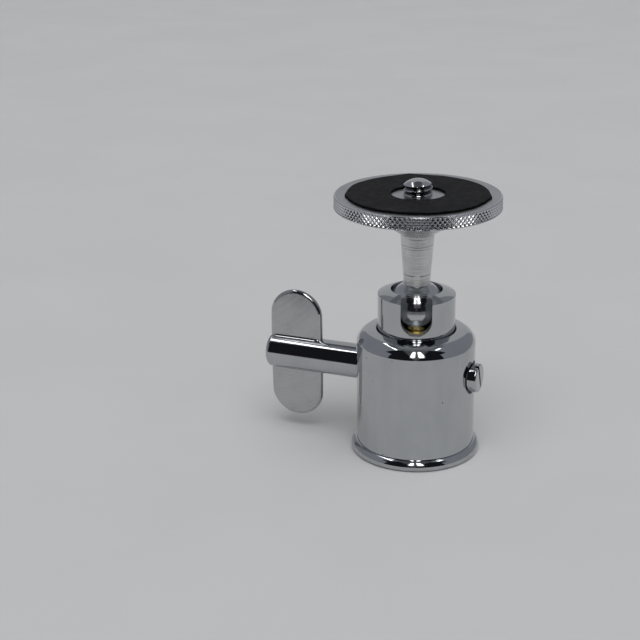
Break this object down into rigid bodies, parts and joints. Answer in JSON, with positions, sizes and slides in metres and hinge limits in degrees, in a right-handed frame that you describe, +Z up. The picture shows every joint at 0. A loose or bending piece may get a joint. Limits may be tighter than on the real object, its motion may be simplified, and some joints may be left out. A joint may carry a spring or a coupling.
{
  "type": "camera ball head",
  "caption": "Small plated ball head: slotted turret on a bell-shaped body, tapered stem with a knurled camera platform, and a wing lever on a cross shaft that locks the ball.",
  "frame": {"origin": "mouth of the tripod socket, in the middle of the foot's underside", "axes": "+Z up along the body's axis to the camera screw, -X along the lever shaft to the wing"},
  "size_m": [0.0547, 0.037, 0.0638],
  "materials": {
    "polished_chrome": "bright chrome plate on brass",
    "satin_chrome": "chrome plate over a ground surface",
    "turned_metal": "turned, thinly plated, with fine tool marks",
    "bright_steel": "turned steel",
    "spring_steel": "tempered spring steel",
    "brass": "turned brass",
    "bronze": "phosphor bronze",
    "black_sheet": "matt black sheet, cut by hand"
  },
  "bodies": {
    "body": {"base_plug": "polished_chrome", "body_shell": "polished_chrome", "turret_washer": "bronze"},
    "turret": {"turret": "polished_chrome", "thrust_cup": "brass", "drag_spring": "spring_steel"},
    "ball": {"ball": "polished_chrome"},
    "platform": {"stem": "turned_metal", "platform_disc": "satin_chrome", "platform_pad": "black_sheet", "camera_screw": "bright_steel"},
    "lever": {"lever_shaft": "polished_chrome", "lever_wing": "satin_chrome", "retaining_washer": "bright_steel", "retaining_screw": "polished_chrome"},
    "plunger": {"plunger": "bright_steel"}
  },
  "joints": [
    {"name": "turret_pan", "type": "hinge", "parent": "body", "child": "turret", "pos_m": [0, 0, 0.0294], "axis": [0, 0, 1], "range_deg": [-180, 180]},
    {"name": "ball_tilt", "type": "hinge", "parent": "turret", "child": "ball", "pos_m": [0, 0, 0.0342], "axis": [0.9483, 0.3173, 0], "range_deg": [-26, 90]},
    {"name": "platform_spin", "type": "hinge", "parent": "ball", "child": "platform", "pos_m": [0, 0, 0.0342], "axis": [0, 0, 1], "continuous": true},
    {"name": "lever_turn", "type": "hinge", "parent": "body", "child": "lever", "pos_m": [0, 0, 0.019], "axis": [1, 0, 0], "range_deg": [0, 80]},
    {"name": "plunger_lift", "type": "slide", "parent": "body", "child": "plunger", "axis": [0, 0, 1], "range_m": [-0.000643, 0], "deforming": ["drag_spring"]}
  ],
  "couplings": [
    {"joint": "plunger_lift", "follows": "lever_turn", "m_per_rad": -0.00046036}
  ]
}
